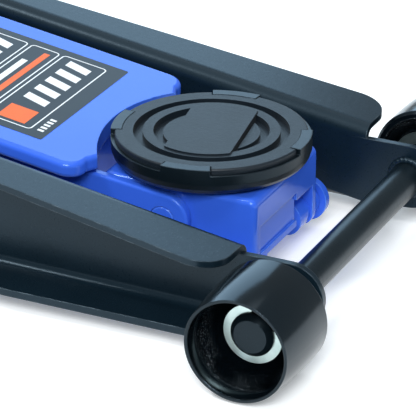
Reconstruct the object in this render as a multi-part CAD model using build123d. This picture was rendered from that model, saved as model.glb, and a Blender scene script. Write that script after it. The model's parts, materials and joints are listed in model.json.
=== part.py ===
"""Low-profile hydraulic trolley jack, as an assembly of separate pieces.

Millimetres. The pieces are drawn with X = 0 on the front axle, +X towards the front
wheels, +Y to the left side, +Z up and Z = 0 on the floor. The finished parts are moved
along X so that the origin is the middle of the jack's footprint box, on the floor.
"""
import os
from math import atan2, cos, degrees, hypot, radians, sin

from build123d import *

# ---- driving dimensions -------------------------------------------------------------
RUN = 0.05               # radial clearance of every running fit
GAP = 0.5                # side clearance between pieces that move past each other

WHEEL_R = 33.2           # front wheels
WHEEL_IN, WHEEL_OUT = 113.5, 165.0
AXLE_R = 10.3
JOURNAL_R = 13.0
AXLE_END = 146.0
HUB_FACE = 138.6         # outer face of the wheel's hub, deep in its hollow

PLATE = 4.0              # side frame plate
WEB_IN = 87.5            # inner face of each side frame
WEB_OUT = WEB_IN + PLATE
BEND_R = 9.0
NOSE_R = 20.5
RAIL_FRONT_X = -28.5
RAIL_FRONT_Z = 61.2
RAIL_SLOPE = 0.157       # rise of the top flange per millimetre rearward
RAIL_TOP_Z = 136.0
RAIL_REAR_X = -716.0
RAIL_REAR_SOLE_Z = 62.0  # underside of the frame over the casters

PIVOT = (-480.0, 100.0)  # lift arm pivot in the frame, x and z
SADDLE_PIVOT = (-100.0, 44.0)
LINK_OFFSET = (45.0, -23.0)
LINK_FRONT = (SADDLE_PIVOT[0] + LINK_OFFSET[0], SADDLE_PIVOT[1] + LINK_OFFSET[1])
LINK_REAR = (PIVOT[0] + LINK_OFFSET[0], PIVOT[1] + LINK_OFFSET[1])
LIFT_DEG = 60.0
SHAFT_R = 11.0
HUB_R = 17.0
SADDLE_PIN_R = 8.0
LINK_PIN_R = 6.0
CHEEK_IN, CHEEK_OUT = 46.0, 51.5
LINK_IN, LINK_OUT = 56.0, 61.0

CRANK_R = 56.0           # arm pivot to the crank pin that the ram pushes
CRANK_PIN_R = 7.0
CRANK_PIN = (
    PIVOT[0] - CRANK_R * sin(radians(LIFT_DEG / 2)),
    PIVOT[1] - CRANK_R * cos(radians(LIFT_DEG / 2)),
)
RAM_STROKE = 2 * CRANK_R * sin(radians(LIFT_DEG / 2))
RAM_R = 14.0
RAM_Z = 48.0
CYLINDER_R = 24.0
RESERVOIR_R = 36.0
UNIT_FRONT_X = -540.0
UNIT_REAR_X = -630.0
PUMP_BLOCK_REAR_X = -666.0

SADDLE_X = -92.0
SADDLE_R = 60.0
SADDLE_TOP_Z = 82.5
LUG_ANGLES = (10.0, 100.0, 190.0, 280.0)
BRACKET_REAR_X, BRACKET_FRONT_X = -143.5, -42.5
BRACKET_HALF = 45.5
BRACKET_TOP_Z = 64.0

YOKE = (-688.0, 100.0)   # handle socket pivot, x and z
HANDLE_LEAN_DEG = 15.0
HANDLE_LENGTH = 640.0
PUMP_DEG = 45.0
LOBE_R = 25.0
LOBE_START_DEG = 20.0    # the roller starts this far behind the pivot's vertical
ROLLER_R = 6.0
ROLLER = (
    YOKE[0] - LOBE_R * sin(radians(LOBE_START_DEG)),
    YOKE[1] - LOBE_R * cos(radians(LOBE_START_DEG)),
)
PLUNGER_STROKE = LOBE_R * (
    sin(radians(LOBE_START_DEG)) + sin(radians(PUMP_DEG - LOBE_START_DEG))
)
VALVE = (22.0, 36.0)     # release valve, y and z

CASTER_X, CASTER_Y = -648.0, 128.0
CASTER_TRAIL = 14.0
CASTER_R = 22.0

SIDES = {"left": 1, "right": -1}


# ---- small helpers ------------------------------------------------------------------
def rod_x(y, z, r, x0, x1):
    return Pos((x0 + x1) / 2, y, z) * Rot(0, 90, 0) * Cylinder(r, abs(x1 - x0))


def rod_y(x, z, r, y0, y1):
    return Pos(x, (y0 + y1) / 2, z) * Rot(90, 0, 0) * Cylinder(r, abs(y1 - y0))


def rod_z(x, y, r, z0, z1):
    return Pos(x, y, (z0 + z1) / 2) * Cylinder(r, abs(z1 - z0))


def block(x0, x1, y0, y1, z0, z1):
    centre = Pos((x0 + x1) / 2, (y0 + y1) / 2, (z0 + z1) / 2)
    return centre * Box(abs(x1 - x0), abs(y1 - y0), abs(z1 - z0))


def outline(*corners):
    """Closed face from (across, up, corner radius) triples."""
    points = [corner[:2] for corner in corners]
    radii = [corner[2] for corner in corners]
    return make_face(FilletPolyline(*points, radius=radii, close=True))


def side_profile(face, y0, y1):
    """A face drawn as X across and Z up, as thick as y0 to y1."""
    return Pos(0, y1, 0) * extrude(Plane.XZ * face, y1 - y0)


def plan_profile(face, z0, z1):
    """A face drawn as X across and Y up the page, as thick as z0 to z1."""
    return Pos(0, 0, z0) * extrude(face, z1 - z0)


def turned_y(profile, x, z):
    """Revolve (radius, y) points about the line through x, z along Y."""
    face = make_face(Polyline(*profile, close=True))
    return Pos(x, 0, z) * revolve(face, Axis.Y)


def turned_z(profile, x):
    """Revolve (radius, z) points about the vertical through x."""
    face = make_face(Polyline(*profile, close=True))
    return Pos(x, 0, 0) * revolve(Plane.XZ * face, Axis.Z)


def hexagon_y(x, z, across_flats, y0, y1):
    face = RegularPolygon(across_flats / 2, 6, major_radius=False)
    return Pos(x, y1, z) * extrude(Plane.XZ * face, y1 - y0)


def on_side(solid, side):
    """The solid is drawn on the left side, and mirrored for the right."""
    return solid if side > 0 else mirror(solid, Plane.XZ)


def both_sides(solid):
    return [solid, mirror(solid, Plane.XZ)]


def rail_top(x):
    return RAIL_FRONT_Z + RAIL_SLOPE * (RAIL_FRONT_X - x)


def level_x(z):
    """Where the sloping top flange reaches height z."""
    return RAIL_FRONT_X - (z - RAIL_FRONT_Z) / RAIL_SLOPE


# ---- frame --------------------------------------------------------------------------
def rail_outline(inset):
    """Side view of the C-section, moved inwards by the plate thickness."""
    top = RAIL_TOP_Z - inset
    rear = RAIL_REAR_X + inset
    sole = RAIL_REAR_SOLE_Z + inset
    front = RAIL_FRONT_X + 40 * (inset > 0)
    return outline(
        (front, rail_top(front) - inset, 0),
        (level_x(RAIL_TOP_Z), top, 60),
        (-672, top, 30 - inset),
        (rear, 104, 25 - inset),
        (rear, sole, 10),
        (-606, sole, 18),
        (-566, 18.6 + inset, 22),
        (front, 9.0 + inset, 0),
    )


def flange_plan(front_x, front_y, corner):
    """Plan outline that the outward flanges are trimmed to."""
    return outline(
        (front_x, WEB_IN - 5, 0),
        (RAIL_REAR_X - 5, WEB_IN - 5, 0),
        (RAIL_REAR_X - 5, 110, 0),
        (-360, 110, 60),
        (-257, 115.7, 60),
        (-168, 122, 60),
        (front_x, front_y, corner),
    )


def side_plate(side):
    """Pressed C-section: tall web, wide top flange, narrow bottom flange, axle neck."""
    shell = side_profile(rail_outline(0), WEB_IN, 140)
    inner_rim = shell.faces().sort_by(Axis.Y)[0].edges()
    inner_rim = inner_rim.filter_by(lambda edge: edge.center().X < RAIL_FRONT_X - 1)
    shell = fillet(inner_rim, BEND_R)
    hollow = side_profile(rail_outline(PLATE), WEB_OUT, 200)
    hollow_rim = hollow.faces().sort_by(Axis.Y)[0].edges()
    hollow_rim = hollow_rim.filter_by(lambda edge: edge.center().X < RAIL_FRONT_X + 30)
    shell -= fillet(hollow_rim, BEND_R - PLATE)

    split = [(RAIL_FRONT_X + 20, 36), (RAIL_REAR_X - 20, 98)]
    upper = make_face(Polyline(*split, (RAIL_REAR_X - 20, 200), (20, 200), close=True))
    lower = make_face(Polyline(*split, (RAIL_REAR_X - 20, -20), (20, -20), close=True))
    wide = plan_profile(flange_plan(RAIL_FRONT_X, 130.3, 20), 0, 200)
    narrow = plan_profile(flange_plan(RAIL_FRONT_X, 118, 14), 0, 200)
    shell = (shell & wide & side_profile(upper, 0, 200)) + (
        shell & narrow & side_profile(lower, 0, 200)
    )

    neck = outline(
        (-60, WHEEL_R + NOSE_R, 0),
        (0, WHEEL_R + NOSE_R, 0),
        (0, WHEEL_R - NOSE_R, 0),
        (-30, 11, 0),
        (-60, 16, 0),
    )
    shell += side_profile(neck, WEB_IN, WEB_OUT)
    shell += rod_y(0, WHEEL_R, NOSE_R, WEB_IN, WEB_OUT)
    holes = [(0, WHEEL_R, AXLE_R), (*PIVOT, SHAFT_R), (*LINK_REAR, 10), (*YOKE, 8)]
    for x, z, r in holes + [(x, COVER_SCREW_Z, 3) for x in COVER_SCREWS]:
        shell -= rod_y(x, z, r, WEB_IN - 1, WEB_OUT + 1)
    return on_side(shell, side)


def front_axle():
    shoulder = WHEEL_IN - 3
    axle = rod_y(0, WHEEL_R, AXLE_R, -shoulder, shoulder)
    journal = rod_y(0, WHEEL_R, JOURNAL_R, shoulder, AXLE_END)
    rim = journal.faces().sort_by(Axis.Y)[-1].edges()
    journal = chamfer(rim, 3.2)
    return axle + journal + mirror(journal, Plane.XZ)


def axle_washer():
    y0, y1 = WHEEL_IN - 2.2, WHEEL_IN - 0.4
    ring = rod_y(0, WHEEL_R, 20, y0, y1) - rod_y(0, WHEEL_R, JOURNAL_R, y0 - 1, y1 + 1)
    return both_sides(ring)


def axle_clip():
    """Open retaining ring with a lug at each end, on the axle outside the wheel hub."""
    y0, y1 = HUB_FACE + 1, HUB_FACE + 3
    ring = rod_y(0, WHEEL_R, 17.8, y0, y1) - rod_y(0, WHEEL_R, JOURNAL_R, y0 - 1, y1 + 1)
    mouth = make_face(Polyline((0, 0), (-5, 30), (24, 30), (30, 10), close=True))
    ring -= Pos(0, 0, WHEEL_R) * side_profile(mouth, y0 - 1, y1 + 1)
    for angle in (102, 14):
        x = 16.2 * cos(radians(angle))
        z = WHEEL_R + 16.2 * sin(radians(angle))
        ring += rod_y(x, z, 3.2, y0, y1)
    ring -= rod_y(0, WHEEL_R, JOURNAL_R, y0 - 1, y1 + 1)
    return both_sides(ring)


def main_pivot_shaft():
    shaft = rod_y(*PIVOT, SHAFT_R, -(WEB_OUT + 13), WEB_OUT + 13)
    return chamfer(shaft.edges().filter_by(GeomType.CIRCLE), 1)


def pivot_nuts():
    nut = hexagon_y(*PIVOT, 34, WEB_OUT, WEB_OUT + 10)
    return both_sides(nut - rod_y(*PIVOT, SHAFT_R, WEB_OUT - 1, WEB_OUT + 11))


def pivot_spacers():
    spacer = rod_y(*PIVOT, 15, CHEEK_OUT + GAP, WEB_IN)
    return both_sides(spacer - rod_y(*PIVOT, SHAFT_R, CHEEK_OUT, WEB_IN + 1))


def link_anchor_pins():
    pin = rod_y(*LINK_REAR, 10, LINK_OUT + GAP, WEB_OUT)
    pin += rod_y(*LINK_REAR, LINK_PIN_R, LINK_IN - GAP, LINK_OUT + GAP)
    pin += rod_y(*LINK_REAR, 8.5, LINK_IN - 2, LINK_IN - GAP)
    return both_sides(pin)


# ---- lift arm -----------------------------------------------------------------------
def deck_top(x):
    """Top face of the arm's cover plate at rest, just below the side frames' flanges."""
    return rail_top(x) - 1.5


DECK = 4.0
DECK_LIP = 10.0
DECK_FRONT_X, DECK_REAR_X = -143.0, -455.0
DECK_HALF = 74.5


def arm_cheek(side):
    """Side plate of the arm: saddle eye in front, pivot and crank lobe behind."""
    under_deck = [(x, deck_top(x) - DECK) for x in (-161, DECK_REAR_X)]
    body = outline(
        (-83.5, 57.9, 15),
        (-152, 66, 4),
        (*under_deck[0], 4),
        (*under_deck[1], 0),
        (PIVOT[0], PIVOT[1] + 24, 0),
        (-504, 100, 0),
        (-523, 53, 0),
        (-494, 44, 6),
        (-462, 76, 18),
        (-420, 64, 30),
        (-83.5, 25.5, 15),
    )
    cheek = side_profile(body, CHEEK_IN, CHEEK_OUT)
    for (x, z), r in ((PIVOT, 24), (CRANK_PIN, 15)):
        cheek += rod_y(x, z, r, CHEEK_IN, CHEEK_OUT)
    cheek = cheek.clean()
    rim = cheek.faces().sort_by(Axis.Y)[-1].edges()
    cheek = fillet([edge for edge in rim if edge.center().X > -150], 1.8)
    holes = ((SADDLE_PIVOT, SADDLE_PIN_R + RUN), (PIVOT, HUB_R), (CRANK_PIN, CRANK_PIN_R))
    for (x, z), r in holes:
        cheek -= rod_y(x, z, r, CHEEK_IN - 1, CHEEK_OUT + 1)
    return on_side(cheek, side)


def deck_plan():
    """Cover plate in plan: a bay round the saddle, a nib each side, rounded corners."""
    nib = (-141.0, 53.0)
    rear = (DECK_REAR_X, 62.0)
    bay = ThreePointArc((nib[0], -nib[1]), (-156, 0), nib)
    left = FilletPolyline(
        nib,
        (DECK_FRONT_X - 1, nib[1] + 7),
        (DECK_FRONT_X, DECK_HALF),
        (-330, DECK_HALF),
        rear,
        (rear[0], 0),
        radius=(4, 12, 60, 10),
    )
    right = mirror(left, Plane.XZ)
    return make_face([bay, *left.edges(), *right.edges()])


def arm_top_plate():
    """Pressed cover plate with its edges turned down."""
    plan = deck_plan()
    x0, x1 = -120.0, -480.0
    skin_top = [(x, deck_top(x)) for x in (x0, x1)]
    lip_foot = [(x, deck_top(x) - DECK_LIP) for x in (x1, x0)]
    blank = make_face(Polyline(*skin_top, *lip_foot, close=True))
    shell = plan_profile(plan, 0, 200) & side_profile(blank, -100, 100)
    rim = shell.faces().sort_by(Axis.Z)[-1].edges()
    shell = fillet(rim, 3.2)
    skin_under = [(x, deck_top(x) - DECK) for x in (x0, x1)]
    hollow = make_face(Polyline(*skin_under, (x1, 20), (x0, 20), close=True))
    inner_plan = offset(plan, -DECK)
    shell -= plan_profile(inner_plan, 0, 200) & side_profile(hollow, -100, 100)
    rear_mouth = block(DECK_REAR_X - 1, DECK_REAR_X + 12, -58, 58, 0, 200)
    return shell - (rear_mouth & side_profile(hollow, -100, 100))


def arm_brace():
    """Cross plate between the cheeks, behind the saddle carrier."""
    top = deck_top(-163) - DECK
    return block(-166, -162, -CHEEK_IN, CHEEK_IN, 34, top - 1)


def arm_hub():
    hub = rod_y(*PIVOT, HUB_R, -CHEEK_OUT, CHEEK_OUT)
    return hub - rod_y(*PIVOT, SHAFT_R + RUN, -60, 60)


def crank_pin():
    pin = rod_y(*CRANK_PIN, CRANK_PIN_R, -(CHEEK_OUT + 2), CHEEK_OUT + 2)
    return chamfer(pin.edges().filter_by(GeomType.CIRCLE), 0.8)


# ---- saddle carrier -----------------------------------------------------------------
def saddle_bracket():
    """Folded inverted-U carrier that keeps the saddle level."""
    wall = 7.0
    side_view = outline(
        (BRACKET_REAR_X, BRACKET_TOP_Z, 6),
        (BRACKET_REAR_X, 47, 6),
        (-112, 29, 12),
        (-72, 24, 12),
        (-66, 12.5, 8),
        (BRACKET_FRONT_X, 12.5, 8),
        (BRACKET_FRONT_X, BRACKET_TOP_Z, 5),
    )
    shell = side_profile(side_view, -BRACKET_HALF, BRACKET_HALF)
    walls = shell.faces().sort_by(Axis.Y)
    rim = walls[0].edges() + walls[-1].edges()
    rim = [edge for edge in rim if edge.center().Z > BRACKET_TOP_Z - 6]
    shell = fillet(rim, 3.5)
    inner_half = BRACKET_HALF - wall
    inside = block(BRACKET_REAR_X - 1, BRACKET_FRONT_X - 9, -inner_half, inner_half, 0, 58)
    recess = block(BRACKET_FRONT_X - 1.5, 0, -inner_half, 14, 27, 45)
    below_front = block(-70, 0, -inner_half, inner_half, 0, 23)
    boss_arch = block(-70, 0, 14, inner_half, 0, 40)
    shell -= inside
    shell -= recess
    shell -= below_front
    shell -= boss_arch
    shell -= rod_y(*SADDLE_PIVOT, SADDLE_PIN_R, -60, 60)
    shell -= rod_y(*LINK_FRONT, LINK_PIN_R, -60, 60)
    shell -= both_sides(rod_y(*LINK_FRONT, 11, inner_half - 14, inner_half))
    shell -= rod_z(SADDLE_X, 0, 12 + RUN, 50, 70)
    return shell


def saddle_pivot_pin():
    pin = rod_y(*SADDLE_PIVOT, SADDLE_PIN_R, -CHEEK_OUT, CHEEK_OUT)
    return chamfer(pin.edges().filter_by(GeomType.CIRCLE), 0.8)


def link_pins():
    """Shouldered stub pins through the carrier walls, with a boss on the inside."""
    inner = BRACKET_HALF - 7
    pin = rod_y(*LINK_FRONT, LINK_PIN_R, inner, LINK_OUT + GAP)
    pin += rod_y(*LINK_FRONT, 10, BRACKET_HALF, LINK_IN - GAP)
    pin += rod_y(*LINK_FRONT, 9.5, LINK_OUT + GAP, LINK_OUT + 3)
    pin += rod_y(*LINK_FRONT, 11, inner - 14, inner)
    return both_sides(pin)


def link_rod(side):
    """Flat rod, parallel to the arm, that keeps the saddle carrier level."""
    front, rear = LINK_FRONT, LINK_REAR
    length = hypot(front[0] - rear[0], front[1] - rear[1])
    tilt = degrees(atan2(rear[1] - front[1], front[0] - rear[0]))
    middle = ((front[0] + rear[0]) / 2, (front[1] + rear[1]) / 2)
    bar = Box(length, LINK_OUT - LINK_IN, 15)
    bar = Pos(middle[0], (LINK_IN + LINK_OUT) / 2, middle[1]) * Rot(0, tilt, 0) * bar
    for (x, z), r in ((front, 14), (rear, 12.5)):
        bar += rod_y(x, z, r, LINK_IN, LINK_OUT)
    bar = bar.clean()
    for x, z in (front, rear):
        bar -= rod_y(x, z, LINK_PIN_R + RUN, LINK_IN - 1, LINK_OUT + 1)
    return on_side(bar, side)


# ---- saddle -------------------------------------------------------------------------
PAD_FLOOR_Z = 71.0
STEEL_RIM_Z = SADDLE_TOP_Z - 3.4
BAND_TOP_Z = SADDLE_TOP_Z + 1
BAND_HALF = 20.0


def ring_sector(r0, r1, z0, z1, angle, width):
    """A piece of a ring about the saddle's axis, width degrees long."""
    reach = 2 * r1
    half = radians(width / 2)
    wedge = Polyline((0, 0), (reach * cos(half), -reach * sin(half)),
                     (reach * cos(half), reach * sin(half)), close=True)
    cut = Rot(0, 0, angle) * plan_profile(make_face(wedge), z0, z1)
    ring = rod_z(0, 0, r1, z0, z1) - rod_z(0, 0, r0, z0 - 1, z1 + 1)
    return Pos(SADDLE_X, 0, 0) * (ring & cut)


def saddle_dish():
    """Steel saddle: shallow bowl, stem below, four upstanding lugs on the rim."""
    dish = turned_z(
        [(0, 64.5), (50, 64.5), (54, 65.3), (57, 67), (59, 69.6), (SADDLE_R, 73),
         (SADDLE_R, STEEL_RIM_Z), (57.7, STEEL_RIM_Z), (57.7, PAD_FLOOR_Z), (0, PAD_FLOOR_Z)],
        SADDLE_X)
    for angle in LUG_ANGLES:
        dish += ring_sector(53.3, SADDLE_R, PAD_FLOOR_Z + 2, SADDLE_TOP_Z + 0.2, angle, 29)
        dish += ring_sector(53.3, 58, PAD_FLOOR_Z - 1, PAD_FLOOR_Z + 2, angle, 29)
    dish += rod_z(SADDLE_X, 0, 12, 52, 65)
    groove = rod_z(SADDLE_X, 0, 13, 53.5, 55.5) - rod_z(SADDLE_X, 0, 10.5, 53, 56)
    return dish - groove


def saddle_clip():
    return rod_z(SADDLE_X, 0, 17, 53.6, 55.4) - rod_z(SADDLE_X, 0, 10.6, 53, 56)


def saddle_pad():
    """Rubber pad with two ring grooves, cut back at the lugs, and a raised cross band."""
    disc_r, ring_in, ring_out, rim_in, rim_out = 28.9, 34.6, 41.0, 46.7, 57.6
    pad = rod_z(SADDLE_X, 0, rim_out, PAD_FLOOR_Z, SADDLE_TOP_Z)
    pad = fillet(pad.faces().sort_by(Axis.Z)[-1].edges(), 1.2)
    for r0, r1 in ((disc_r, ring_in), (ring_out, rim_in)):
        pad -= rod_z(SADDLE_X, 0, r1, SADDLE_TOP_Z - 4, 90) - rod_z(SADDLE_X, 0, r0, 70, 91)
    pad -= rod_z(SADDLE_X, 0, disc_r + 1, SADDLE_TOP_Z - 1.4, 90)
    across = Pos(SADDLE_X, 0, 0) * Rot(0, 0, LUG_ANGLES[1])
    slot_half = BAND_HALF + 1.3
    slots = across * block(-60, 60, -slot_half, slot_half, SADDLE_TOP_Z - 3.5, 90)
    pad -= slots & rod_z(SADDLE_X, 0, disc_r, 70, 91)
    band = across * block(-60, 60, -BAND_HALF, BAND_HALF, SADDLE_TOP_Z - 4, BAND_TOP_Z)
    pad += band & rod_z(SADDLE_X, 0, 38, 75, 95)
    for angle in LUG_ANGLES:
        pad -= ring_sector(53, 62, PAD_FLOOR_Z - 1, 92, angle, 30.5)
    return pad


# ---- hydraulic unit -----------------------------------------------------------------
def ram_rod():
    piston = rod_x(0, RAM_Z, 19, -625, -612)
    rod = rod_x(0, RAM_Z, RAM_R, -610, CRANK_PIN[0] - 15)
    return rod + piston


def ram_head():
    """Crosshead with an upright slot for the arm's crank pin."""
    x = CRANK_PIN[0]
    head = block(x - 17, x + 16, -24, 24, 29, 67)
    head = fillet(head.edges().filter_by(Axis.Y), 5)
    slot = outline((x - 8, 33, 7.9), (x + 8, 33, 7.9), (x + 8, 62.5, 7.9), (x - 8, 62.5, 7.9))
    head -= side_profile(slot, -30, 30)
    return head - rod_x(0, RAM_Z, RAM_R, x - 18, x - 15)


def cylinder_tube():
    tube = rod_x(0, RAM_Z, CYLINDER_R, UNIT_REAR_X, UNIT_FRONT_X)
    return tube - rod_x(0, RAM_Z, 19 + RUN, UNIT_REAR_X - 1, UNIT_FRONT_X + 1)


def cylinder_gland():
    gland = rod_x(0, RAM_Z, 19, UNIT_FRONT_X - 14, UNIT_FRONT_X)
    gland += rod_x(0, RAM_Z, 25, UNIT_FRONT_X, UNIT_FRONT_X + 9)
    return gland - rod_x(0, RAM_Z, RAM_R + RUN, UNIT_FRONT_X - 20, UNIT_FRONT_X + 20)


def reservoir():
    shell = rod_x(0, RAM_Z, RESERVOIR_R, UNIT_REAR_X, UNIT_FRONT_X - 5)
    inside = rod_x(0, RAM_Z, RESERVOIR_R - 3, UNIT_REAR_X - 1, UNIT_FRONT_X + 1)
    port = rod_z(-600, 0, 5, 60, 90)
    return shell - inside - port


def unit_plate():
    """Cross plate that carries the hydraulic unit between the side frames."""
    x = UNIT_FRONT_X
    plate = block(x - 5, x, -WEB_IN, WEB_IN, 19, 92)
    plate -= rod_x(0, RAM_Z, CYLINDER_R, x - 6, x + 1)
    for y in (-56, 56):
        plate -= rod_x(y, 60, 9, x - 6, x + 1)
    return plate


def filler_plug():
    plug = rod_z(-600, 0, 5, 80, 86)
    return plug + rod_z(-600, 0, 8, 85, 89)


def pump_block():
    body = block(PUMP_BLOCK_REAR_X, UNIT_REAR_X, -38, 38, 14, 90)
    body = chamfer(body.edges().filter_by(Axis.X), 5)
    body -= rod_x(0, ROLLER[1], 6 + RUN, PUMP_BLOCK_REAR_X - 1, PUMP_BLOCK_REAR_X + 32)
    body -= rod_x(*VALVE, 5 + RUN, PUMP_BLOCK_REAR_X - 1, PUMP_BLOCK_REAR_X + 22)
    return body - rod_x(-22, VALVE[1], 6, PUMP_BLOCK_REAR_X - 1, PUMP_BLOCK_REAR_X + 8)


def safety_valve_plug():
    plug = rod_x(-22, VALVE[1], 6, PUMP_BLOCK_REAR_X - 4, PUMP_BLOCK_REAR_X + 8)
    return plug - rod_x(-22, VALVE[1], 2.5, PUMP_BLOCK_REAR_X - 5, PUMP_BLOCK_REAR_X)


def block_bolts():
    """Four cap screws that clamp the pump block to the unit's tie bars."""
    bolts = []
    for y in (-30, 30):
        for z in (22, 80):
            head = rod_x(y, z, 5, PUMP_BLOCK_REAR_X - 5, PUMP_BLOCK_REAR_X)
            bolts.append(head - rod_x(y, z, 2.5, PUMP_BLOCK_REAR_X - 6, PUMP_BLOCK_REAR_X - 2))
    return bolts


def release_valve():
    """Needle valve stem with a flat tongue that the handle's drive fork turns."""
    stem = rod_x(*VALVE, 5, PUMP_BLOCK_REAR_X - 3, PUMP_BLOCK_REAR_X + 20)
    collar = rod_x(*VALVE, 8, PUMP_BLOCK_REAR_X - 8, PUMP_BLOCK_REAR_X - GAP)
    x, (y, z) = PUMP_BLOCK_REAR_X - 8, VALVE
    return stem + collar + block(x - 9, x, y - 2, y + 2, z - 6, z + 6)


def pump_plunger():
    """Pushed in by the roller under the handle socket."""
    head_x = ROLLER[0] + ROLLER_R + GAP
    rod = rod_x(0, ROLLER[1], 6, head_x + 4, PUMP_BLOCK_REAR_X + 10)
    return rod + rod_x(0, ROLLER[1], 8, head_x, head_x + 4)


# ---- handle -------------------------------------------------------------------------
def along_handle(solid):
    """Moves a solid drawn up the Z axis to the handle's line, with z = 0 on the yoke pivot."""
    return Pos(YOKE[0], 0, YOKE[1]) * Rot(0, -HANDLE_LEAN_DEG, 0) * solid


HANDLE_R = 15.0
SOCKET_R = 19.5
SOCKET_FLOOR, SOCKET_TOP = 14.0, 120.0


def handle_yoke():
    """Cast cross tube with the handle socket above and the pump lobe below."""
    yoke = rod_y(*YOKE, 15, -80, 80)
    yoke += along_handle(Pos(0, 0, SOCKET_TOP / 2) * Cylinder(SOCKET_R, SOCKET_TOP))
    lobe = Pos(*ROLLER) * Circle(8) + Pos(*YOKE) * Circle(12)
    lobe = make_hull(lobe.edges())
    yoke += side_profile(lobe, -15, 15)
    yoke -= block(ROLLER[0] - 9, ROLLER[0] + 40, -10, 10, 60, YOKE[1] - 14.7)
    yoke -= rod_y(*ROLLER, 3, -16, 16)
    yoke -= rod_y(*YOKE, 8 + RUN, 55, 81)
    yoke -= rod_y(*YOKE, 8 + RUN, -81, -55)
    depth = SOCKET_TOP - SOCKET_FLOOR + 10
    bore = Pos(0, 0, SOCKET_FLOOR + depth / 2) * Cylinder(HANDLE_R + RUN, depth)
    return yoke - along_handle(bore)


def pump_roller():
    roller = rod_y(*ROLLER, ROLLER_R, -9.4, 9.4)
    return roller - rod_y(*ROLLER, 3 + RUN, -10, 10)


def roller_pin():
    return rod_y(*ROLLER, 3, -16, 16)


def yoke_bolts():
    bolt = rod_y(*YOKE, 8, 57, WEB_OUT)
    return both_sides(bolt + hexagon_y(*YOKE, 21, WEB_OUT, WEB_OUT + 8))


def handle_springs():
    """Coiled return springs of the handle, one round each yoke bolt."""
    coils = []
    for turn in range(3):
        y = 81.7 + 2.05 * turn
        coils += both_sides(Pos(YOKE[0], y, YOKE[1]) * Rot(90, 0, 0) * Torus(9.05, 1.0))
    return coils


def snap_button():
    return Pos(12, 0, 350) * Rot(0, 90, 0) * Cylinder(3.5, 7.4)


def handle_tube(start, end):
    tube = Cylinder(HANDLE_R, end - start) - Cylinder(HANDLE_R - 2.5, end - start)
    return along_handle(Pos(0, 0, (start + end) / 2) * tube - snap_button())


def handle_joint():
    """Inner sleeve and snap button that join the two handle tubes."""
    sleeve = Pos(0, 0, 330) * (Cylinder(12.5, 90) - Cylinder(10, 91))
    return along_handle(sleeve + snap_button())


def handle_grip():
    start, end = 500.0, HANDLE_LENGTH + 4
    outer = Pos(0, 0, (start + end) / 2) * Cylinder(18, end - start)
    outer = fillet(outer.edges().filter_by(GeomType.CIRCLE), 2.5)
    depth = HANDLE_LENGTH - start + 2
    inner = Pos(0, 0, (start + HANDLE_LENGTH) / 2 - 1) * Cylinder(HANDLE_R, depth)
    for step in range(9):
        z = start + 16 + 14 * step
        outer -= Pos(0, 0, z) * Torus(18.6, 1.4)
    return along_handle(outer - inner)


# ---- rear cover, casters ------------------------------------------------------------
COVER_FRONT_X, COVER_REAR_X = -548.0, -652.0
COVER_SCREWS = (-568.0, -634.0)
COVER_SCREW_Z = 121.0


def rear_cover():
    """Folded sheet cover over the hydraulic unit, screwed to the side frames."""
    cover = block(COVER_REAR_X, COVER_FRONT_X, -WEB_IN, WEB_IN, 112, 135)
    cover = fillet(cover.edges().filter_by(Axis.X).sort_by(Axis.Z)[-2:], 6)
    cover -= block(COVER_REAR_X - 1, COVER_FRONT_X + 1, -WEB_IN + 2, WEB_IN - 2, 110, 133)
    for x in COVER_SCREWS:
        cover -= rod_y(x, COVER_SCREW_Z, 3, -90, 90)
    for row in range(4):
        vent = block(COVER_REAR_X + 22, COVER_FRONT_X - 22, -1.5, 1.5, 130, 140)
        cover -= Pos(0, 18 * (row - 1.5), 0) * vent
    return cover


def cover_screws():
    screws = []
    for x in COVER_SCREWS:
        screw = rod_y(x, COVER_SCREW_Z, 3, WEB_IN - 5, WEB_OUT)
        screw += rod_y(x, COVER_SCREW_Z, 5.5, WEB_OUT, WEB_OUT + 3.2)
        screws += both_sides(screw - rod_y(x, COVER_SCREW_Z, 2, WEB_OUT + 1.5, WEB_OUT + 4))
    return screws


def caster_bracket(side):
    """Shelf welded under the frame's rear, with an eye for the caster's stem."""
    shelf = outline(
        (CASTER_X - 30, WEB_IN, 0),
        (CASTER_X + 30, WEB_IN, 0),
        (CASTER_X + 22, CASTER_Y + 22, 20),
        (CASTER_X - 22, CASTER_Y + 22, 20),
    )
    plate = plan_profile(shelf, RAIL_REAR_SOLE_Z - 5, RAIL_REAR_SOLE_Z)
    return on_side(plate - rod_z(CASTER_X, CASTER_Y, 6 + RUN, 50, 70), side)


def caster_axle_point():
    return CASTER_X - CASTER_TRAIL, CASTER_R


def caster_fork(side):
    """Pressed fork with the stem and the ball race housing on top."""
    x, z = caster_axle_point()
    cheek = outline(
        (CASTER_X + 15, 53.5, 0),
        (CASTER_X - 15, 53.5, 0),
        (x - 9, z + 4, 6),
        (x - 6, z - 9, 6),
        (x + 7, z - 9, 6),
        (CASTER_X + 9, 40, 6),
    )
    fork = side_profile(cheek, CASTER_Y - 14, CASTER_Y - 11)
    fork += side_profile(cheek, CASTER_Y + 11, CASTER_Y + 14)
    fork += block(CASTER_X - 15, CASTER_X + 15, CASTER_Y - 14, CASTER_Y + 14, 50.5, 53.5)
    fork += rod_z(CASTER_X, CASTER_Y, 15, 50.5, 56.5)
    fork += rod_z(CASTER_X, CASTER_Y, 6, 56, 71)
    return on_side(fork - rod_y(x, z, 4, 100, 160), side)


def caster_nut(side):
    face = RegularPolygon(9, 6, major_radius=False)
    nut = Pos(CASTER_X, CASTER_Y, RAIL_REAR_SOLE_Z + 0.4) * extrude(face, 6.5)
    return on_side(nut - rod_z(CASTER_X, CASTER_Y, 6, 50, 80), side)


def caster_axle(side):
    x, z = caster_axle_point()
    return on_side(rod_y(x, z, 4, CASTER_Y - 16, CASTER_Y + 16), side)


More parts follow.
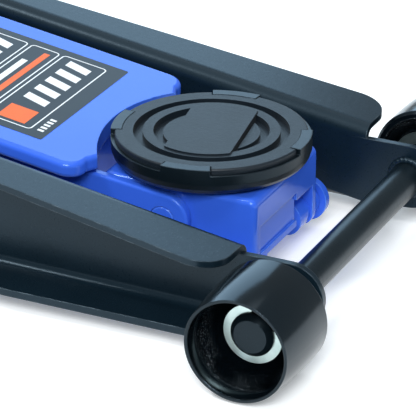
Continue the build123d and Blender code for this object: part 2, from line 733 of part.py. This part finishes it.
def caster_wheel(side):
    x, z = caster_axle_point()
    wheel = turned_y(
        [(4 + RUN, -9.5), (10, -9.5), (11, -7), (16, -7), (17, -8.5), (20.5, -8.5),
         (CASTER_R, -6.5), (CASTER_R, 6.5), (20.5, 8.5), (17, 8.5), (16, 7), (11, 7),
         (10, 9.5), (4 + RUN, 9.5)], x, z)
    return on_side(Pos(0, CASTER_Y, 0) * wheel, side)


# ---- front wheels -------------------------------------------------------------------
def front_wheel(side):
    """Barrel-shaped steel roller, deeply hollow on the outside."""
    crown = TangentArc((WHEEL_R, 126), (30.8, WHEEL_OUT), tangent=(0, 1))
    rim = Polyline((30.8, WHEEL_OUT), (29.2, WHEEL_OUT), (28.9, WHEEL_OUT - 0.6))
    bowl = ThreePointArc((28.9, WHEEL_OUT - 0.6), (26.4, 148.0), (18.8, HUB_FACE))
    inner = Polyline(
        (18.8, HUB_FACE), (15, HUB_FACE), (15, WHEEL_IN), (21, WHEEL_IN), (23, WHEEL_IN + 3),
        (27, WHEEL_IN + 3), (28, WHEEL_IN), (31.6, WHEEL_IN), (WHEEL_R, WHEEL_IN + 1.6),
        (WHEEL_R, 126),
    )
    edges = [crown, *rim.edges(), bowl, *inner.edges()]
    wheel = revolve(make_face(edges), Axis.Y)
    return on_side(Pos(0, 0, WHEEL_R) * wheel, side)


def wheel_bush(side):
    bush = rod_y(0, WHEEL_R, 15, WHEEL_IN, HUB_FACE + 0.5)
    return on_side(bush - rod_y(0, WHEEL_R, JOURNAL_R + RUN, 100, 150), side)


# ---- assembly -----------------------------------------------------------------------
def pieces():
    made = {
        "front_axle": front_axle(),
        "axle_washers": axle_washer(),
        "axle_clips": axle_clip(),
        "main_pivot_shaft": main_pivot_shaft(),
        "main_pivot_nuts": pivot_nuts(),
        "main_pivot_spacers": pivot_spacers(),
        "link_anchor_pins": link_anchor_pins(),
        "arm_top_plate": arm_top_plate(),
        "arm_brace": arm_brace(),
        "arm_hub": arm_hub(),
        "crank_pin": crank_pin(),
        "saddle_bracket": saddle_bracket(),
        "saddle_pivot_pin": saddle_pivot_pin(),
        "link_pins": link_pins(),
        "saddle_dish": saddle_dish(),
        "saddle_clip": saddle_clip(),
        "saddle_pad": saddle_pad(),
        "ram_rod": ram_rod(),
        "ram_head": ram_head(),
        "cylinder_tube": cylinder_tube(),
        "cylinder_gland": cylinder_gland(),
        "reservoir": reservoir(),
        "unit_plate": unit_plate(),
        "filler_plug": filler_plug(),
        "pump_block": pump_block(),
        "safety_valve_plug": safety_valve_plug(),
        "block_bolts": block_bolts(),
        "release_valve": release_valve(),
        "pump_plunger": pump_plunger(),
        "handle_yoke": handle_yoke(),
        "pump_roller": pump_roller(),
        "roller_pin": roller_pin(),
        "yoke_bolts": yoke_bolts(),
        "handle_springs": handle_springs(),
        "handle_lower_tube": handle_tube(SOCKET_FLOOR + 2, 330),
        "handle_upper_tube": handle_tube(330, HANDLE_LENGTH),
        "handle_joint": handle_joint(),
        "handle_grip": handle_grip(),
        "rear_cover": rear_cover(),
        "cover_screws": cover_screws(),
    }
    sided = (side_plate, arm_cheek, link_rod, caster_bracket, caster_fork, caster_nut,
             caster_axle, caster_wheel, front_wheel, wheel_bush)
    for make in sided:
        for name, side in SIDES.items():
            made[f"{make.__name__}_{name}"] = make(side)
    return made


def as_compound(made):
    solids = []
    for item in made if isinstance(made, list) else [made]:
        solids += item.solids()
    return Compound(children=solids)


assembly = {name: as_compound(made) for name, made in pieces().items()}
every_solid = [solid for node in assembly.values() for solid in node.solids()]
box = Compound(children=every_solid).bounding_box()
ORIGIN_X = (box.min.X + box.max.X) / 2

os.makedirs("parts", exist_ok=True)
for name, node in assembly.items():
    export_step(Pos(-ORIGIN_X, 0, 0) * node, f"parts/{name}.step")
print("origin x", round(ORIGIN_X, 4), "size", [round(v, 1) for v in box.size])
print("stroke", round(RAM_STROKE, 2), "plunger", round(PLUNGER_STROKE, 2), "nodes", len(assembly))
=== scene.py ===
"""Looks of the low-profile trolley jack: materials, label, welds, studio and camera."""
import json
import random
from math import atan, cos, pi, radians, sin

import bmesh
import bpy
from mathutils import Matrix, Vector


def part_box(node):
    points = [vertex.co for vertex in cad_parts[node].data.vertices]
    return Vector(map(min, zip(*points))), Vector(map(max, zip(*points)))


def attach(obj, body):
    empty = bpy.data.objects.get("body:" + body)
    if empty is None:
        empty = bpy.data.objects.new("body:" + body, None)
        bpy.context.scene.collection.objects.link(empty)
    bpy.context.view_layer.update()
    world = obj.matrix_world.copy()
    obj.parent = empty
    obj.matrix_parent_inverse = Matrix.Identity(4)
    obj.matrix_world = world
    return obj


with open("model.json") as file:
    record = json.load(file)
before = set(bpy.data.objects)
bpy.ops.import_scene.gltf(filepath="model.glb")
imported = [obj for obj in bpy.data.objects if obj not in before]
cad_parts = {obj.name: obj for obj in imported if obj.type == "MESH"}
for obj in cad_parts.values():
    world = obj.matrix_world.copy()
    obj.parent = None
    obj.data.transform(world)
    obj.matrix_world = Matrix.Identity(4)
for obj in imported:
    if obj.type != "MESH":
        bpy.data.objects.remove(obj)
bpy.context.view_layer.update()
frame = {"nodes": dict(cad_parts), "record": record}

# Lengths are in metres.
MM = 0.001


# ---- places taken from the frame ----------------------------------------------------
def joint_place(name):
    """Where a joint sits at rest, in metres."""
    found = [joint for joint in frame["record"]["behaviour"]["joints"] if joint["name"] == name]
    return Vector(found[0]["pos_m"])


WHEEL = joint_place("front_wheel_left_roll")
AXLE_X, AXLE_Z = WHEEL.x, WHEEL.z
DECK_REAR_X = Vector(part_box("arm_top_plate")[0]).x

# The cover plate's top face is a plane that rises towards the rear, through this place.
DECK_SLOPE = 0.157
DECK_DATUM_BEHIND_AXLE = 0.0285
DECK_DATUM_Z = 0.05973

# Inner and outer faces of the side frames' webs, which the front axle passes through.
WEB_IN, WEB_OUT = 0.0875, 0.0915


def deck_z(x):
    """Height of the cover plate's top face."""
    return DECK_DATUM_Z - DECK_SLOPE * (x - AXLE_X + DECK_DATUM_BEHIND_AXLE)


def deck_point(along, y, height):
    """A place over the cover plate: x along the jack, y across, height square to the plate."""
    tilt = atan(DECK_SLOPE)
    return Vector((along + height * sin(tilt), y, deck_z(along) + height * cos(tilt)))


# ---- mesh helpers -------------------------------------------------------------------
def mesh_object(name, bm, material, smooth_deg=35):
    mesh = bpy.data.meshes.new(name)
    bmesh.ops.recalc_face_normals(bm, faces=bm.faces)
    bm.to_mesh(mesh)
    bm.free()
    mesh.materials.append(material)
    piece = bpy.data.objects.new(name, mesh)
    bpy.context.scene.collection.objects.link(piece)
    mesh.shade_smooth()
    mesh.set_sharp_from_angle(angle=radians(smooth_deg))
    return piece


def rounded_outline(x0, x1, y0, y1, radius, steps=6):
    """Corner-rounded rectangle, counter-clockwise."""
    points = []
    corners = (((x1, y1), 0), ((x0, y1), 90), ((x0, y0), 180), ((x1, y0), 270))
    for (cx, cy), start in corners:
        inner_x = cx - radius if cx == x1 else cx + radius
        inner_y = cy - radius if cy == y1 else cy + radius
        for step in range(steps + 1):
            angle = radians(start + 90 * step / steps)
            points.append((inner_x + radius * cos(angle), inner_y + radius * sin(angle)))
    return points


def deck_film(name, outline, hole, low, high, material):
    """A thin printed film on the cover plate, with an optional window in it."""
    bm = bmesh.new()
    loops = [outline] + ([hole] if hole else [])
    rings = []
    for loop in loops:
        top = [bm.verts.new(deck_point(x, y, high)) for x, y in loop]
        foot = [bm.verts.new(deck_point(x, y, low)) for x, y in loop]
        rings.append((top, foot))
        for i in range(len(loop)):
            j = (i + 1) % len(loop)
            bm.faces.new((top[i], top[j], foot[j], foot[i]))
    if hole:
        for level in (0, 1):
            outer, inner = rings[0][level], rings[1][level]
            for i in range(len(outer)):
                j = (i + 1) % len(outer)
                bm.faces.new((outer[i], outer[j], inner[j], inner[i]))
    else:
        bm.faces.new(rings[0][0])
        bm.faces.new(rings[0][1])
    piece = mesh_object(name, bm, material)
    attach(piece, "lift_arm")


# ---- shader helpers -----------------------------------------------------------------
def new_material(name):
    material = bpy.data.materials.new(name)
    material.use_nodes = True
    return material


def nodes_of(material):
    tree = material.node_tree
    return tree, tree.nodes["Principled BSDF"]


def noise(tree, scale, detail=3.0, rough=0.55):
    """Noise over the piece's own place: a scale of 100 has features about 10 mm apart."""
    place = tree.nodes.new("ShaderNodeTexCoord")
    texture = tree.nodes.new("ShaderNodeTexNoise")
    texture.inputs["Scale"].default_value = scale
    texture.inputs["Detail"].default_value = detail
    texture.inputs["Roughness"].default_value = rough
    tree.links.new(place.outputs["Object"], texture.inputs["Vector"])
    return texture.outputs["Fac"]


def ramp(tree, source, stops):
    """Colour between two (position, colour) ends as the source rises."""
    node = tree.nodes.new("ShaderNodeValToRGB")
    for element, (place, shade) in zip(node.color_ramp.elements, stops):
        element.position = place
        element.color = (*shade, 1)
    tree.links.new(source, node.inputs["Fac"])
    return node.outputs["Color"]


def spread_from(tree, source, low_in, high_in, low, high):
    """The source, mapped from its own range to low and high and held there."""
    node = tree.nodes.new("ShaderNodeMapRange")
    node.inputs["From Min"].default_value = low_in
    node.inputs["From Max"].default_value = high_in
    node.inputs["To Min"].default_value = low
    node.inputs["To Max"].default_value = high
    tree.links.new(source, node.inputs["Value"])
    return node.outputs["Result"]


def spread(tree, source, low, high):
    """The same for a source that runs from 0 to 1."""
    return spread_from(tree, source, 0.0, 1.0, low, high)


def mixed(tree, amount, first, colour):
    """A plain colour laid over the first by amount."""
    node = tree.nodes.new("ShaderNodeMix")
    node.data_type = "RGBA"
    tree.links.new(amount, node.inputs["Factor"])
    tree.links.new(first, node.inputs["A"])
    node.inputs["B"].default_value = (*colour, 1)
    return node.outputs["Result"]


def times(tree, a, b):
    node = tree.nodes.new("ShaderNodeMath")
    node.operation = "MULTIPLY"
    tree.links.new(a, node.inputs[0])
    tree.links.new(b, node.inputs[1])
    return node.outputs["Value"]


def relief(tree, bsdf, layers, last=None):
    """Stack bump layers of (height source, distance in metres, strength)."""
    for source, distance, strength in layers:
        bump = tree.nodes.new("ShaderNodeBump")
        bump.inputs["Distance"].default_value = distance
        bump.inputs["Strength"].default_value = strength
        tree.links.new(source, bump.inputs["Height"])
        if last:
            tree.links.new(last, bump.inputs["Normal"])
        last = bump.outputs["Normal"]
    tree.links.new(last, bsdf.inputs["Normal"])


def soft_edges(tree, radius):
    """Normals that round a sharp edge off over the given radius."""
    node = tree.nodes.new("ShaderNodeBevel")
    node.samples = 4
    node.inputs["Radius"].default_value = radius
    return node.outputs["Normal"]


def edge_mask(tree, rounded):
    """Where the rounded normal leaves the face's own: 0 on flats, towards 1 on edges."""
    own = tree.nodes.new("ShaderNodeNewGeometry")
    dot = tree.nodes.new("ShaderNodeVectorMath")
    dot.operation = "DOT_PRODUCT"
    tree.links.new(own.outputs["Normal"], dot.inputs[0])
    tree.links.new(rounded, dot.inputs[1])
    return spread_from(tree, dot.outputs["Value"], 0.995, 0.90, 0.0, 1.0)


# ---- materials ----------------------------------------------------------------------
PAINT_EDGE_R = 0.0009
GLOSS_TINT = (0.63, 0.84, 1.0, 1)


def paint(name, deep, light, roughness, grain, shine, edge_highlight_and_wear):
    """Sprayed paint: soft tone drift, orange peel, dust in the gloss, and edges lightened in
    patches: a painted edge highlight that is partly wear.
    """
    material = new_material(name)
    tree, bsdf = nodes_of(material)
    colour = ramp(tree, noise(tree, 14, 4), ((0.3, deep), (0.7, light)))
    dust = noise(tree, 900, 2, 0.7)
    rounded = soft_edges(tree, PAINT_EDGE_R)
    patchy = spread_from(tree, noise(tree, 120, 5, 0.7), 0.45, 0.62, 0.15, 0.8)
    # Painted edge highlight, partly wear: rounded edges are lightened in patches towards the paler
    # edge colour.
    colour = mixed(tree, times(tree, edge_mask(tree, rounded), patchy), colour, edge_highlight_and_wear)
    specks = spread_from(tree, noise(tree, 1300, 1, 0.4), 0.70, 0.76, 0.0, 0.5)
    tree.links.new(mixed(tree, specks, colour, light), bsdf.inputs["Base Color"])
    tree.links.new(spread(tree, dust, roughness * 0.75, roughness * 1.3), bsdf.inputs["Roughness"])
    bsdf.inputs["Specular IOR Level"].default_value = shine
    bsdf.inputs["Specular Tint"].default_value = GLOSS_TINT
    layers = ((noise(tree, 260, 2), 0.0002, grain), (dust, 0.00004, grain))
    relief(tree, bsdf, layers, rounded)
    return material


def metal(name, deep, light, roughness, brushed):
    """Turned or plated metal, with fine marks squeezed by the brushed factors."""
    material = new_material(name)
    tree, bsdf = nodes_of(material)
    place = tree.nodes.new("ShaderNodeTexCoord")
    stretch = tree.nodes.new("ShaderNodeMapping")
    stretch.inputs["Scale"].default_value = brushed
    marks = tree.nodes.new("ShaderNodeTexNoise")
    marks.inputs["Scale"].default_value = 260
    marks.inputs["Detail"].default_value = 4
    tree.links.new(place.outputs["Object"], stretch.inputs["Vector"])
    tree.links.new(stretch.outputs["Vector"], marks.inputs["Vector"])
    tone = noise(tree, 60, 4)
    tree.links.new(ramp(tree, tone, ((0.3, deep), (0.7, light))), bsdf.inputs["Base Color"])
    lowest, highest = roughness * 0.7, roughness * 1.35
    tree.links.new(spread(tree, marks.outputs["Fac"], lowest, highest), bsdf.inputs["Roughness"])
    bsdf.inputs["Metallic"].default_value = 1.0
    relief(tree, bsdf, ((marks.outputs["Fac"], 0.00006, 0.5),))
    return material


def rubber(name, deep, light, roughness, pores):
    """Moulded rubber: pale bloom, fine pores and a soft sheen."""
    material = new_material(name)
    tree, bsdf = nodes_of(material)
    bloom = noise(tree, 45, 5, 0.65)
    tree.links.new(ramp(tree, bloom, ((0.3, deep), (0.72, light))), bsdf.inputs["Base Color"])
    fine = noise(tree, pores, 3)
    tree.links.new(spread(tree, fine, roughness * 0.85, roughness * 1.2), bsdf.inputs["Roughness"])
    bsdf.inputs["Sheen Weight"].default_value = 0.02
    bsdf.inputs["Specular IOR Level"].default_value = 0.28
    relief(tree, bsdf, ((fine, 0.0002, 0.6), (noise(tree, pores / 5, 2), 0.0003, 0.3)))
    return material


def printed(name, colour, roughness=0.38):
    """Printed vinyl: even ink with a faint screen-print mottle."""
    material = new_material(name)
    tree, bsdf = nodes_of(material)
    mottle = noise(tree, 500, 3)
    darker = tuple(0.88 * part for part in colour)
    tree.links.new(ramp(tree, mottle, ((0.35, darker), (0.65, colour))), bsdf.inputs["Base Color"])
    tree.links.new(spread(tree, mottle, roughness * 0.9, roughness * 1.1), bsdf.inputs["Roughness"])
    bsdf.inputs["Specular IOR Level"].default_value = 0.22
    relief(tree, bsdf, ((mottle, 0.00005, 0.3),))
    return material


def cast_surface(name, deep, light, roughness, grain_scale, depth):
    """Coarse speckled finish of a painted casting."""
    material = new_material(name)
    tree, bsdf = nodes_of(material)
    grain = noise(tree, grain_scale, 4, 0.7)
    tree.links.new(ramp(tree, grain, ((0.36, deep), (0.64, light))), bsdf.inputs["Base Color"])
    tree.links.new(spread(tree, grain, roughness * 0.8, roughness * 1.2), bsdf.inputs["Roughness"])
    relief(tree, bsdf, ((grain, depth, 0.9), (noise(tree, grain_scale / 6, 2), depth * 2, 0.5)))
    return material


def from_axle(tree):
    """Distance from the front axle's centre line."""
    place = tree.nodes.new("ShaderNodeTexCoord")
    shift = tree.nodes.new("ShaderNodeVectorMath")
    shift.operation = "SUBTRACT"
    shift.inputs[1].default_value = (AXLE_X, 0, AXLE_Z)
    flat = tree.nodes.new("ShaderNodeVectorMath")
    flat.operation = "MULTIPLY"
    flat.inputs[1].default_value = (1, 0, 1)
    reach = tree.nodes.new("ShaderNodeVectorMath")
    reach.operation = "LENGTH"
    tree.links.new(place.outputs["Object"], shift.inputs[0])
    tree.links.new(shift.outputs["Vector"], flat.inputs[0])
    tree.links.new(flat.outputs["Vector"], reach.inputs[0])
    return reach.outputs["Value"]


# Inside this radius the wheel paint turns metallic: painted shade for the hollow.
HOLLOW_LIP_R, HOLLOW_FULL_R = 0.0290, 0.0284
# Painted glints: near the hollow's lip, bright metallic flecks stand in for a speckled reflection.
GLINT_FROM_R, GLINT_FULL_R = 0.0235, 0.0270
GLINT_METAL_COLOUR = (0.34, 0.38, 0.42)
HOLLOW_DULLNESS = 0.08


def wheel_paint():
    """Gloss outside; inside the hollow, painted shade as a near-black metal, rough overspray bumps
    and painted glints of bright metal near the lip.
    """
    # The last colour is a painted edge highlight with some wear, as for every paint.
    material = paint("wheel paint", (0.001, 0.002, 0.003), (0.002, 0.004, 0.006), 0.15, 0.10, 0.38,
                     (0.03, 0.035, 0.04))
    tree, bsdf = nodes_of(material)
    reach = from_axle(tree)
    # Painted shade: inside the hollow the near-black paint turns metallic, which darkens the
    # hollow's reflections.
    hollow = spread_from(tree, reach, HOLLOW_LIP_R, HOLLOW_FULL_R, 0.0, 1.0)
    tree.links.new(hollow, bsdf.inputs["Metallic"])

    # Painted glints: bright metal flecks in patches near the lip of the hollow.
    near_lip = spread_from(tree, reach, GLINT_FROM_R, GLINT_FULL_R, 0.0, 1.0)
    glints = spread_from(tree, noise(tree, 1400, 3, 0.75), 0.56, 0.66, 0.0, 1.0)
    patches = spread_from(tree, noise(tree, 55, 2), 0.42, 0.56, 0.0, 0.8)
    painted_glints = times(tree, times(tree, hollow, near_lip), times(tree, glints, patches))
    gloss_colour = bsdf.inputs["Base Color"].links[0].from_socket
    tree.links.new(mixed(tree, painted_glints, gloss_colour, GLINT_METAL_COLOUR), bsdf.inputs["Base Color"])

    overspray = times(tree, hollow, noise(tree, 750, 4, 0.8))
    smooth = bsdf.inputs["Normal"].links[0].from_socket
    relief(tree, bsdf, ((overspray, 0.0010, 1.0),), smooth)

    outside = bsdf.inputs["Roughness"].links[0].from_socket
    dulled = tree.nodes.new("ShaderNodeMath")
    dulled.operation = "MULTIPLY_ADD"
    dulled.inputs[1].default_value = HOLLOW_DULLNESS
    tree.links.new(hollow, dulled.inputs[0])
    tree.links.new(outside, dulled.inputs[2])
    tree.links.new(dulled.outputs["Value"], bsdf.inputs["Roughness"])
    return material


# Each paint's last colour is laid on its edges: lighter than the paint, a painted edge highlight
# with some wear.
BLUE = paint("blue paint", (0.030, 0.108, 0.62), (0.038, 0.125, 0.68), 0.14, 0.10, 0.40,
             (0.16, 0.38, 0.92))
BLACK = paint("black satin paint", (0.0025, 0.0075, 0.0125), (0.0045, 0.0115, 0.0185), 0.29, 0.25,
              0.36, (0.13, 0.17, 0.20))
GLOSS = paint("black gloss paint", (0.002, 0.0025, 0.003), (0.004, 0.005, 0.006), 0.14, 0.10, 0.5,
              (0.03, 0.035, 0.04))
STEEL_BLACK = paint("black saddle paint", (0.002, 0.004, 0.006), (0.004, 0.008, 0.011), 0.30,
                    0.3, 0.32, (0.04, 0.055, 0.07))
PAD = rubber("saddle rubber", (0.004, 0.008, 0.013), (0.008, 0.014, 0.021), 0.42, 1500)
FOAM = rubber("grip foam", (0.008, 0.008, 0.009), (0.018, 0.018, 0.019), 0.8, 2200)
ZINC = metal("zinc plate", (0.40, 0.52, 0.51), (0.66, 0.78, 0.76), 0.34, (1, 1, 1))
STEEL = metal("machined steel", (0.25, 0.26, 0.27), (0.42, 0.43, 0.44), 0.32, (1, 8, 1))
CHROME = metal("ground rod", (0.55, 0.56, 0.57), (0.68, 0.69, 0.70), 0.10, (12, 1, 1))
# Painted shade: the wheel bushes are near-black metal so the gap round them reads dark.
DARK_STEEL = metal("dark bush steel for shade", (0.012, 0.013, 0.014), (0.03, 0.032, 0.034), 0.34, (1, 8, 1))
CASTING = cast_surface("cast block", (0.018, 0.019, 0.021), (0.045, 0.047, 0.05), 0.55, 300,
                       0.0006)
WHEEL_PAINT = wheel_paint()

FINISH = {
    BLUE: ["arm_top_plate", "arm_cheek_left", "arm_cheek_right", "saddle_bracket", "arm_hub",
           "link_rod_left", "link_rod_right", "link_pins", "arm_brace", "saddle_pivot_pin"],
    BLACK: ["side_plate_left", "side_plate_right", "unit_plate", "rear_cover",
            "caster_bracket_left", "caster_bracket_right", "handle_yoke", "handle_lower_tube",
            "handle_upper_tube", "main_pivot_spacers", "caster_fork_left", "caster_fork_right",
            "link_anchor_pins", "reservoir"],
    WHEEL_PAINT: ["front_wheel_left", "front_wheel_right"],
    GLOSS: ["caster_wheel_left", "caster_wheel_right"],
    STEEL_BLACK: ["saddle_dish", "front_axle"],
    PAD: ["saddle_pad"],
    FOAM: ["handle_grip"],
    ZINC: ["axle_clips", "axle_washers", "block_bolts", "caster_axle_left", "caster_axle_right",
           "caster_nut_left", "caster_nut_right", "cover_screws", "filler_plug", "handle_joint",
           "main_pivot_nuts", "release_valve", "saddle_clip", "safety_valve_plug", "yoke_bolts"],
    STEEL: ["cylinder_tube", "cylinder_gland", "crank_pin", "main_pivot_shaft", "ram_head",
            "roller_pin", "pump_roller", "handle_springs"],
    CHROME: ["ram_rod", "pump_plunger"],
    DARK_STEEL: ["wheel_bush_left", "wheel_bush_right"],
    CASTING: ["pump_block"],
}


def finish_nodes():
    for material, names in FINISH.items():
        for name in names:
            piece = frame["nodes"][name]
            for place in piece.material_slots:
                place.material = material


# ---- label on the cover plate -------------------------------------------------------
INK = printed("label ground", (0.012, 0.014, 0.018), 0.32)
WHITE = printed("label white", (0.80, 0.82, 0.84))
ORANGE = printed("label orange", (0.80, 0.125, 0.006))

FILM = 0.12 * MM
LINE_TOP, BAR_TOP = 1.6 * FILM, 1.7 * FILM
LABEL_FRONT = AXLE_X - 0.176
LABEL_REAR = DECK_REAR_X + 0.030
LABEL_HALF = 0.0575
LABEL_CORNER_R = 0.0012
PANEL_NEAR, PANEL_FAR = -LABEL_HALF + 0.007, LABEL_HALF - 0.007
PANEL_INSET, PANEL_GAP = 0.011, 0.0022
PANEL_DEPTHS = (0.0305, 0.0200, 0.0300, 0.0200, 0.0300, 0.0200, 0.0300)
PANEL_CORNER_R, PANEL_INNER_R = 0.003, 0.0022
PANEL_LINE = 0.0008
MARKS, MARK_START, MARK_PITCH, MARK_WIDTH, MARK_SLANT = 5, 0.031, 0.0135, 0.0075, -0.004
RULE_DEPTH = 0.004
TICKS, TICK_START, TICK_PITCH, TICK_WIDTH = 5, 0.002, 0.004, 0.0022


def bar(name, x_front, depth, y0, y1, material, slant=0.0):
    """A printed bar lying across the panel, slanted along the jack if asked."""
    outline = [(x_front, y1), (x_front - depth, y1 - slant), (x_front - depth, y0 - slant),
               (x_front, y0)]
    deck_film(name, outline, None, FILM, BAR_TOP, material)


def panel_frame(index, front, depth):
    """A thin white line around a panel."""
    back = front - depth
    outer = rounded_outline(back, front, PANEL_NEAR, PANEL_FAR, PANEL_CORNER_R)
    inner = rounded_outline(back + PANEL_LINE, front - PANEL_LINE, PANEL_NEAR + PANEL_LINE,
                            PANEL_FAR - PANEL_LINE, PANEL_INNER_R)
    deck_film(f"label_frame_{index}", outer, inner, FILM, LINE_TOP, WHITE)


def marked_panel(index, front, depth):
    """An orange square and a row of slanted white marks."""
    bar(f"label_square_{index}", front - 0.006, depth - 0.012, PANEL_NEAR + 0.004,
        PANEL_NEAR + 0.0225, ORANGE)
    for mark in range(MARKS):
        y0 = PANEL_NEAR + MARK_START + MARK_PITCH * mark
        bar(f"label_chevron_{index}_{mark}", front - 0.007, depth - 0.014, y0, y0 + MARK_WIDTH,
            WHITE, MARK_SLANT)


def ruled_panel(index, front):
    """A long orange rule and a shorter white one."""
    start = PANEL_NEAR + 0.008
    bar(f"label_rule_{index}", front - 0.0045, RULE_DEPTH, start, PANEL_FAR - 0.006, ORANGE)
    bar(f"label_rule_low_{index}", front - 0.0115, RULE_DEPTH, start, PANEL_FAR - 0.022, WHITE)


def label():
    """Dark film with framed panels of plain marks by turns, and no lettering."""
    ground = rounded_outline(LABEL_REAR, LABEL_FRONT, -LABEL_HALF, LABEL_HALF, LABEL_CORNER_R, 3)
    deck_film("label_ground", ground, None, 0.0, FILM, INK)
    front = LABEL_FRONT - PANEL_INSET
    for index, depth in enumerate(PANEL_DEPTHS):
        panel_frame(index, front, depth)
        if index % 2 == 0:
            marked_panel(index, front, depth)
        else:
            ruled_panel(index, front)
        front = front - depth - PANEL_GAP
    for tick in range(TICKS):
        y0 = PANEL_NEAR + TICK_START + TICK_PITCH * tick
        bar(f"label_tick_{tick}", LABEL_FRONT - 0.0035, RULE_DEPTH, y0, y0 + TICK_WIDTH, WHITE)


# ---- welds --------------------------------------------------------------------------
WELD_R, WELD_BEAD, WELD_PROUD = 0.0112, 0.0022, 0.0005
WELD_TURNS, WELD_SIDES, WELD_RIPPLES = 96, 10, 27


def weld_ring(name, centre, radius, bead, body, material):
    """Rippled weld bead around an axle, lying in the corner with the plate."""
    rng = random.Random(name)
    bm = bmesh.new()
    rings = []
    for i in range(WELD_TURNS):
        angle = 2 * pi * i / WELD_TURNS
        ripple = 1 + 0.13 * sin(angle * WELD_RIPPLES) + 0.07 * rng.uniform(-1, 1)
        ring = []
        for k in range(WELD_SIDES):
            around = 2 * pi * k / WELD_SIDES
            r = radius + bead * ripple * cos(around)
            y = centre.y + bead * ripple * sin(around)
            ring.append(bm.verts.new((centre.x + r * cos(angle), y, centre.z + r * sin(angle))))
        rings.append(ring)
    for i in range(WELD_TURNS):
        for k in range(WELD_SIDES):
            a, b = rings[i], rings[(i + 1) % WELD_TURNS]
            n = (k + 1) % WELD_SIDES
            bm.faces.new((a[k], a[n], b[n], b[k]))
    piece = mesh_object(name, bm, material, 80)
    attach(piece, body)


def welds():
    for side, word in ((1, "left"), (-1, "right")):
        for y, where in ((WEB_IN - WELD_PROUD, "inner"), (WEB_OUT + WELD_PROUD, "outer")):
            centre = Vector((AXLE_X, side * y, AXLE_Z))
            weld_ring(f"axle_weld_{word}_{where}", centre, WELD_R, WELD_BEAD, "frame", BLACK)


# ---- studio -------------------------------------------------------------------------
LAMP_AIM = (0.2, 0.0, 0.05)
# Name, place, aim, width, height, radiance and tint.
LAMPS = (
    ("overhead", (0.1, 0.2, 2.6), LAMP_AIM, 3.0, 3.0, 0.9, (0.96, 0.99, 1.0)),
    ("rear_panel", (-0.45, 0.90, 0.62), LAMP_AIM, 1.15, 0.8, 2.3, (0.48, 0.75, 1.0)),
    ("key", (1.1, -1.75, 1.6), LAMP_AIM, 1.0, 0.8, 22.0, (0.97, 0.99, 1.0)),
    ("edge_light", (-0.78, -1.05, 2.1), LAMP_AIM, 0.4, 0.4, 40.0, (0.97, 0.99, 1.0)),
)
SKY_COLOUR, SKY_STRENGTH = (0.80, 0.93, 1.0, 1), 0.42
FLOOR_HALF = 12
FLOOR_COLOUR = (0.90, 0.90, 0.90, 1)
FLOOR_GLOW, FLOOR_GLOW_STRENGTH = (0.95, 0.98, 1.0, 1), 0.28


def softbox(name, place, target, width, height, radiance, tint):
    """A rectangular light whose power follows from how bright its face should look."""
    data = bpy.data.lights.new(name, "AREA")
    data.shape = "RECTANGLE"
    data.size = width
    data.size_y = height
    data.energy = radiance * pi * width * height
    data.color = tint
    lamp = bpy.data.objects.new(name, data)
    lamp.location = place
    lamp.rotation_euler = (Vector(target) - Vector(place)).to_track_quat("-Z", "Y").to_euler()
    lamp.visible_camera = False
    bpy.context.scene.collection.objects.link(lamp)


def studio_floor():
    """Plain pale floor, lifted a little by a glow of its own."""
    bm = bmesh.new()
    bmesh.ops.create_grid(bm, x_segments=1, y_segments=1, size=FLOOR_HALF)
    floor_paint = new_material("studio floor")
    _, bsdf = nodes_of(floor_paint)
    bsdf.inputs["Base Color"].default_value = FLOOR_COLOUR
    bsdf.inputs["Emission Color"].default_value = FLOOR_GLOW
    bsdf.inputs["Emission Strength"].default_value = FLOOR_GLOW_STRENGTH
    bsdf.inputs["Roughness"].default_value = 0.9
    bsdf.inputs["Specular IOR Level"].default_value = 0.1
    floor = mesh_object("studio_floor", bm, floor_paint)


def studio():
    bpy.context.scene.view_settings.view_transform = "Standard"
    studio_floor()
    world = bpy.data.worlds.new("studio")
    world.use_nodes = True
    sky = world.node_tree.nodes["Background"].inputs
    sky["Color"].default_value = SKY_COLOUR
    sky["Strength"].default_value = SKY_STRENGTH
    bpy.context.scene.world = world
    for lamp in LAMPS:
        softbox(*lamp)


# ---- camera -------------------------------------------------------------------------
# Degrees. At azimuth 0 the camera looks along +Y, with +X to the right.
AZIMUTH, ELEVATION, ROLL = 25.476, 24.983, -0.048
TARGET_BEHIND_AXLE, TARGET_Z, DISTANCE = 0.0974, 0.03664, 1.75704
LENS_MM, SENSOR_MM = 253, 36
SHIFT_X, SHIFT_Y = 0.011, -0.016


def camera():
    azimuth, elevation, roll = radians(AZIMUTH), radians(ELEVATION), radians(ROLL)
    back = Vector((sin(azimuth) * cos(elevation), -cos(azimuth) * cos(elevation), sin(elevation)))
    right = Vector((cos(azimuth), sin(azimuth), 0))
    up = back.cross(right)
    right, up = right * cos(roll) + up * sin(roll), up * cos(roll) - right * sin(roll)
    turn = Matrix((right, up, back)).transposed()
    data = bpy.data.cameras.new("camera")
    data.sensor_width = SENSOR_MM
    data.lens = LENS_MM
    data.shift_x = SHIFT_X
    data.shift_y = SHIFT_Y
    data.clip_end = 50
    eye = bpy.data.objects.new("camera", data)
    target = Vector((AXLE_X - TARGET_BEHIND_AXLE, 0, TARGET_Z))
    eye.matrix_world = Matrix.Translation(target + DISTANCE * back) @ turn.to_4x4()
    bpy.context.scene.collection.objects.link(eye)
    bpy.context.scene.camera = eye


finish_nodes()
label()
welds()
studio()
camera()
